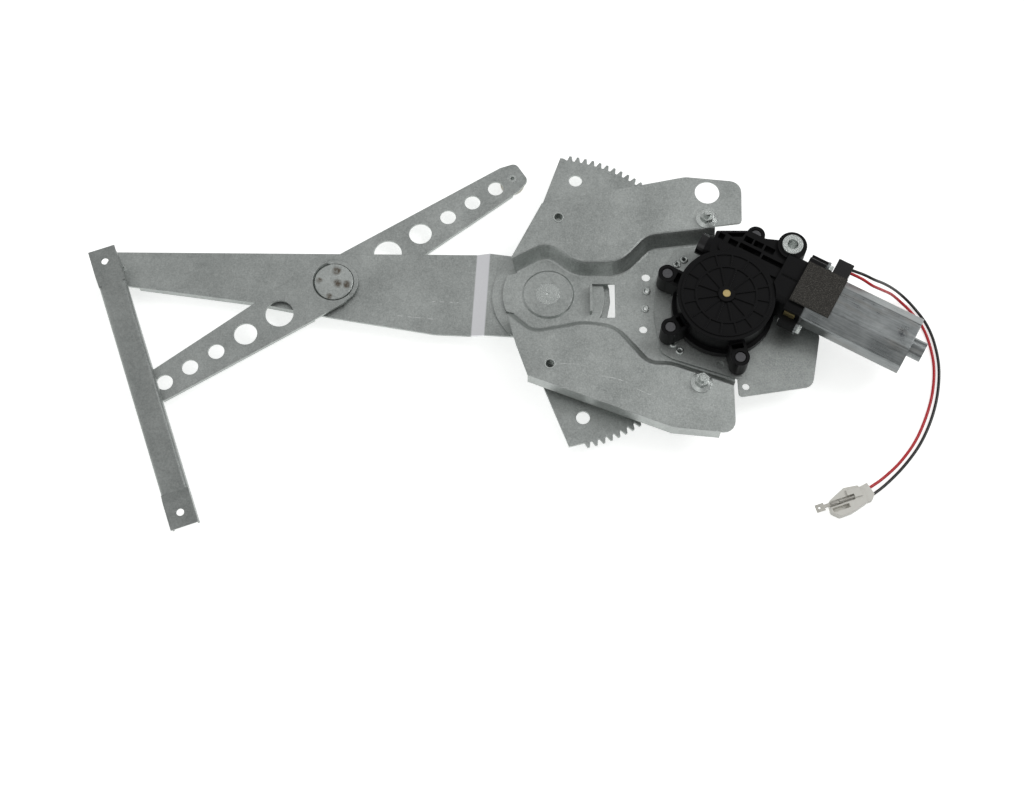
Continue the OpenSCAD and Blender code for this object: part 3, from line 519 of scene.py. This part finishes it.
def loft(rings):
    """A closed solid through rings of as many points each: every point is joined to its neighbours in
    its own ring and in the next one, and a flat face closes either end."""
    rings = np.asarray(rings, float)
    k, n = rings.shape[:2]
    i = np.arange(k - 1)[:, None] * n
    j = np.arange(n)
    after = (j + 1) % n
    walls = np.stack([i + j, i + after, i + n + after, i + n + j], 2).reshape(-1, 4)
    faces = [j[::-1].tolist(), *walls.tolist(), ((k - 1) * n + j).tolist()]
    data = bpy.data.meshes.new("solid")
    data.from_pydata(place(rings.reshape(-1, 3)).tolist(), [], faces)
    shape = bmesh.new()
    shape.from_mesh(data)
    bmesh.ops.recalc_face_normals(shape, faces=shape.faces)
    shape.to_mesh(data)
    shape.free()
    return show("solid", data)


def prism(outline, low, high):
    """An outline in plan, from one height to another."""
    n = len(outline)
    return loft([np.column_stack([outline, np.full(n, z)]) for z in (low, high)])


def post(mid, r, low, high, sides=48):
    """An upright round block, from one height to another."""
    return prism(circle(mid, r, sides), low, high)


def carved(name, adds, cuts):
    """One piece: some solids joined, less some others."""
    body = adds[0]
    for operation, others in (("UNION", adds[1:]), ("DIFFERENCE", cuts)):
        if others:
            group = bpy.data.collections.new(operation)
            for other in others:
                group.objects.link(other)
            step = body.modifiers.new(operation, "BOOLEAN")
            step.operation = operation
            step.operand_type = "COLLECTION"
            step.collection = group
            step.solver = "EXACT"
    data = bpy.data.meshes.new_from_object(body.evaluated_get(bpy.context.evaluated_depsgraph_get()))
    for used in [*adds, *cuts]:
        bpy.data.objects.remove(used)
    data.name = name
    return show(name, data)


def stand_in(piece, node, finish):
    """The piece takes the node's place, rides its body and wears a finish."""
    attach(piece, "base")
    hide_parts(node)
    piece.data.materials.clear()
    dress(piece, finish)


# Gearbox

GEAR = np.array([138.26, -14.29])
MOTOR_AXIS = np.array([0.8755, -0.4833])
MOTOR_SIDE = np.array([0.4833, 0.8755])
WORM_MID = np.array([155.47, 16.88])
AXIS_Z, BRACKET_TOP, FOOT_Z = 20, 2, 3.5
DRUM_R, SKIRT_R, SKIRT_TOP = 37.4, 40.5, 10
DECK_LOW, DECK_TOP, LUG_TOP, BOX_TOP = 7.5, 30, 24, 33
WHEEL_ROOM_R, WHEEL_ROOM_LOW, PINION_BORE_R = 33, 6, 9.6
COVER_SEAT_R, COVER_ROOM_TOP = 38.5, 42
BOLT_BOSS, BOLT_BOSS_R, BOLT_BOSS_LOW, BOLT_BORE_R = (192.2, 27.9), 11.6, 6, 6
# Round parts about the motor's axis: radius, start and end
CAP_TUBE, WORM_BORE, BRUSH_ROOM = (10, -34, -26), (8.2, -40, 50), (15, 30, 50)
# The motor's flange: its corners across and up with their radius, and its start and end
FLANGE, FLANGE_RUN = [(-21, -16, 4.5), (21, -16, 4.5), (21, 15, 4.5), (-21, 15, 4.5)], (28, 44)
SHOULDER, SHOULDER_LOW, SHOULDER_TOP = [(163.5, 12.5), (172.5, 3.2), (187, -3.5), (188, 6)], 8, 32
LUGS = np.array([[93.8, 8.1], [94.7, -37.6], [148.3, -62.9], [165.2, 41.5]])
LUG_R, LUG_FOOT_R, SCREW_R, SCREW_SEAT_R, SCREW_SEAT_DEEP = 7.3, 3.5, 2.2, 4.6, 2.4
# How much narrower on each side and lower than its tower a neck is, and how far it runs into the drum
NECK_NARROW, NECK_DROP, NECK_SINK = 0.4, 0.5, 2
# The dark slot in a neck: how far into the tower it starts, its gap to the drum, its least length,
# half its width and its depth
SLOT_IN, SLOT_GAP, SLOT_LEAST, SLOT_HALF, SLOT_DEEP = 0.2, 0.8, 1.5, 4.6, 9
DECK_PLAN = [(128, 22, 2), (126.5, 25.5, 2), (133.2, 42.2, 1.5), (159, 42.2, 0), (172, 35.2, 3),
             (186, 33.6, 0), (198, 20, 2), (189.5, 7.5, 2), (178, -4, 0), (150, 10, 0)]
# Start and end along the motor, then start and end across it
DECK_POCKETS = [(-28.5, -23.7, 6.6, 11.6), (-19.5, -12, 6, 11), (-10.4, 8, 7, 11.6), (9.8, 28, 6.4, 10.6),
                (-9.4, -2.4, 14, 19), (-1, 6.6, 14, 19), (8.4, 16.6, 13.6, 19)]
EDGE_POCKET = [(141.5, 40.3), (156, 40.3), (153.5, 36.8), (145.5, 36.8)]
POCKET_DEEP = 5
# Place along and across the motor, radius, and height above the deck
DECK_BOSSES = [(-20.7, 1.2, 4.2, 1.5), (31, 10.8, 2, 1)]
# How far a cutter reaches past the face that it opens, and a foot or a boss into its neighbour
CLEAR = 1
# Flat sides that make up the drum's circles, the bolt's boss and the small round bits
DRUM_SIDES, BOSS_SIDES, SMALL_SIDES = 96, 64, 32


def beam(section, start, end):
    """A section of [across, up] points carried along the motor's axis."""
    section = np.asarray(section, float)
    return loft([np.column_stack([WORM_MID + s * MOTOR_AXIS + section[:, :1] * MOTOR_SIDE,
                                  AXIS_Z + section[:, 1]]) for s in (start, end)])


def tube(r, start, end):
    """A round bar about the motor's axis."""
    return beam(circle((0, 0), r), start, end)


def pocket(plan):
    """The cutter for a pocket in the deck."""
    return prism(plan, DECK_TOP - POCKET_DEEP, DECK_TOP + CLEAR)


def screw_tower(p):
    """A tower on a small foot with a neck to the drum, and the cutters for its screw and its slot.
    The neck and the slot lie along the line from the tower's middle to the drum's."""
    way = GEAR - p
    reach = float(np.hypot(*way)) - DRUM_R
    turn = math.degrees(math.atan2(way[1], way[0]))
    neck = oblong(0, reach + NECK_SINK, NECK_NARROW - LUG_R, LUG_R - NECK_NARROW)
    slot_end = LUG_R - SLOT_IN + max(reach - LUG_R - SLOT_GAP, SLOT_LEAST)
    slot = oblong(LUG_R - SLOT_IN, slot_end, -SLOT_HALF, SLOT_HALF)
    adds = [post(p, LUG_FOOT_R, BRACKET_TOP, FOOT_Z + CLEAR, SMALL_SIDES),
            post(p, LUG_R, FOOT_Z, LUG_TOP),
            prism(turned_plan(neck, p, turn), FOOT_Z, LUG_TOP - NECK_DROP)]
    cuts = [post(p, SCREW_R, 0, LUG_TOP + CLEAR),
            post(p, SCREW_SEAT_R, LUG_TOP - SCREW_SEAT_DEEP, LUG_TOP + CLEAR),
            prism(turned_plan(slot, p, turn), LUG_TOP - SLOT_DEEP, LUG_TOP + CLEAR)]
    return adds, cuts


def add_gearbox():
    """The housing: a drum with a skirt, four towers on necks with a dark slot, a pocketed deck over
    the worm and the block that the motor bolts to."""
    adds = [post(GEAR, DRUM_R, FOOT_Z, DECK_TOP, DRUM_SIDES),
            post(GEAR, SKIRT_R, FOOT_Z, SKIRT_TOP, DRUM_SIDES),
            prism(rounded(DECK_PLAN), DECK_LOW, DECK_TOP),
            post(BOLT_BOSS, BOLT_BOSS_R, BOLT_BOSS_LOW, BOX_TOP, BOSS_SIDES),
            tube(*CAP_TUBE),
            beam(rounded(FLANGE), *FLANGE_RUN),
            prism(SHOULDER, SHOULDER_LOW, SHOULDER_TOP)]
    cuts = [post(GEAR, WHEEL_ROOM_R, WHEEL_ROOM_LOW, DECK_TOP + CLEAR, DRUM_SIDES),
            tube(*WORM_BORE),
            tube(*BRUSH_ROOM),
            post(GEAR, PINION_BORE_R, 0, WHEEL_ROOM_LOW + CLEAR),
            post(BOLT_BOSS, BOLT_BORE_R, 0, BOX_TOP + 2 * CLEAR),
            post(GEAR, COVER_SEAT_R, DECK_TOP, COVER_ROOM_TOP, DRUM_SIDES),
            pocket(EDGE_POCKET)]
    for along, across, r, rise in DECK_BOSSES:
        mid = WORM_MID + along * MOTOR_AXIS + across * MOTOR_SIDE
        adds.append(post(mid, r, DECK_TOP - CLEAR, DECK_TOP + rise, SMALL_SIDES))
    for p in LUGS:
        tower_adds, tower_cuts = screw_tower(p)
        adds += tower_adds
        cuts += tower_cuts
    for sides in DECK_POCKETS:
        cuts.append(pocket(WORM_MID + oblong(*sides) @ np.array([MOTOR_AXIS, MOTOR_SIDE])))
    stand_in(carved("gearbox_body", adds, cuts), "gearbox_housing", "black")


# Plug

TABLE_Z = -22.3
PLUG_TOP = TABLE_Z + 7.5
PLUG_NECK_TOP = TABLE_Z + 6
PLUG_STEP_TOP = PLUG_TOP + 1.6
PLUG_PLAN = [(239.5, -155, 1), (228.5, -157.2, 2), (216.8, -168, 2), (218.6, -176.6, 2),
             (225.4, -180, 2), (235, -176.4, 1), (246.5, -168.8, 1), (246, -160.5, 0)]
PLUG_NECK = [(238, -157.5), (247.5, -152.5), (250.5, -157.5), (253, -161.5), (251, -166.5), (245, -168.5)]
PLUG_STEP = [(230, -159.5), (241, -156.5), (243, -163.5), (232, -166.5)]
# The troughs and the terminal lie along a line from this point, at this angle
BLADE_AT, BLADE_TURN = (209.4, -173.6), 19
# Start, end, both sides, and the floor from the plug's top
TROUGHS = [(7.5, 29, -2.1, 2.1, -2.1), (9, 23, -6.8, -3.4, -4.2)]
TROUGH_CLEAR = 8
# The terminal's flat bits: start, end, both sides, and bottom and top from the blade's underside
BLADE_Z = PLUG_TOP + 0.3
FLAT_BITS = [(-3.4, 3.6, -3.1, 3.1, 0, 0.8), (3.4, 9.4, -1.4, 1.4, 0, 0.8),
             (13.8, 16.2, -1.2, 1.2, -0.6, 0.8)]
# The two crimps and the bare wire: start, end and radius, about one axis
ROUND_BITS = [(9, 14, 1.8), (16, 19.6, 1.7), (19.4, 28.8, 1.1)]
ROUND_Z = BLADE_Z + 0.2
# The hole in the blade: its place along the line, its radius and its flat sides
EYE_X, EYE_R, EYE_SIDES = -0.6, 0.9, 24


def along_blade(points):
    """Plan points measured along and across the terminal's line."""
    return turned_plan(points, BLADE_AT, BLADE_TURN)


def rod(start, end, r, sides=20):
    """A round rod along the terminal's line, its axis at one height."""
    ring = circle((0, 0), r, sides)
    return loft([np.column_stack([along_blade(np.column_stack([np.full(sides, x), ring[:, 0]])),
                                  ROUND_Z + ring[:, 1]]) for x in (start, end)])


def add_plug():
    """The open plug with its neck for the leads, and the loose crimped terminal along its top."""
    adds = [prism(rounded(PLUG_PLAN), TABLE_Z, PLUG_TOP),
            prism(PLUG_NECK, TABLE_Z, PLUG_NECK_TOP),
            prism(PLUG_STEP, TABLE_Z, PLUG_STEP_TOP)]
    cuts = [prism(along_blade(oblong(*sides)), PLUG_TOP + floor, PLUG_TOP + TROUGH_CLEAR)
            for *sides, floor in TROUGHS]
    stand_in(carved("plug_body", adds, cuts), "plug_housing", "white")
    metal = [prism(along_blade(oblong(*sides)), BLADE_Z + low, BLADE_Z + high)
             for *sides, low, high in FLAT_BITS]
    metal += [rod(*bit) for bit in ROUND_BITS]
    eye = post(along_blade([(EYE_X, 0)])[0], EYE_R, BLADE_Z - CLEAR, BLADE_Z + 2 * CLEAR, EYE_SIDES)
    stand_in(carved("crimp_terminal", metal, [eye]), "spade_terminals", "tin")


add_gearbox()
add_plug()
add_lead("red_wire_run", RED_ROUTE, "red_lead", "red")
add_lead("black_wire_run", BLACK_ROUTE, "black_lead", "blackwire")


# Table, lamps and world

TABLE_HALF = 4.0
# Light that is added where the camera sees the table
TABLE_GLOW = (0.6, 0.603, 0.6, 1)
# Lamps: place, side in metres and power in watts
KEY_LAMP, FILL_LAMP = ((1.7, 0.6, 1.9), 1.2, 19), ((-0.9, -1.6, 1.9), 1.6, 4)
# Light from all round, and what is added overhead, behind and at the left
WORLD_LOW, WORLD_UP, WORLD_BACK, WORLD_LEFT = 0.14, 0.3, 0.16, 0.3


def add_table():
    """A plain white table; what the camera sees of it is lifted to white, and it keeps the shadow."""
    data = bpy.data.meshes.new("table")
    corners = oblong(-TABLE_HALF, TABLE_HALF, -TABLE_HALF, TABLE_HALF)
    data.from_pydata([(x, y, 0) for x, y in corners.tolist()], [], [(0, 1, 2, 3)])
    table = show("table", data)
    f = Finish("table_white", roughness=0.9)
    f.colour((0.86, 0.87, 0.86), (0.9, 0.91, 0.9), f.noise(30, 2))
    rays = f.add("LightPath").outputs
    straight, mirrored = Field(f, rays["Is Camera Ray"]), Field(f, rays["Is Glossy Ray"])
    through = Field(f, rays["Is Transmission Ray"])
    seen = (straight + mirrored + through).clipped()
    plain = f.surface.outputs[0]
    glow = f.add("Emission", sockets={"Color": TABLE_GLOW}).outputs[0]
    lifted = f.add("AddShader", sockets={0: plain, 1: glow}).outputs[0]
    mix = f.add("MixShader", sockets={0: seen, 1: plain, 2: lifted})
    f.feed(f.tree.nodes["Material Output"].inputs["Surface"], mix.outputs[0])
    data.materials.append(f.material)


def add_lamp(name, at, size, power):
    """A square soft box at a point, facing the frame's origin."""
    data = bpy.data.lights.new(name, "AREA")
    data.shape = "SQUARE"
    data.size = size
    data.energy = power
    lamp = show(name, data)
    lamp.location = at
    way = -np.array(at) / np.linalg.norm(at)
    lamp.rotation_euler = (math.acos(-way[2]), 0, math.atan2(-way[0], way[1]))


def add_world():
    """Pale surroundings, white to the camera: brighter overhead, behind and at the left."""
    world = bpy.data.worlds.new("surroundings")
    bpy.context.scene.world = world
    world.use_nodes = True
    sky = Tree(world.node_tree)
    back = sky.tree.nodes["Background"]
    seen = Field(sky, sky.add("LightPath").outputs["Is Camera Ray"])
    coords = sky.add("TexCoord").outputs["Generated"]
    way = sky.add("SeparateXYZ", sockets={0: coords}).outputs
    up, deep, left = Field(sky, way["Z"]), Field(sky, way["Y"]), Field(sky, way["X"]) * -1
    light = (WORLD_LOW + up.ramp(0.0, 0.8) * WORLD_UP + deep.ramp(-0.2, 0.8) * WORLD_BACK
             + left.ramp(0.1, 0.9) * WORLD_LEFT)
    back.inputs["Color"].default_value = (1, 1, 1, 1)
    sky.feed(back.inputs["Strength"], light * (1 - seen) + seen)


add_table()
add_lamp("key_lamp", *KEY_LAMP)
add_lamp("fill_lamp", *FILL_LAMP)
add_world()
bpy.context.scene.view_settings.view_transform = "Standard"

bpy.context.view_layer.update()
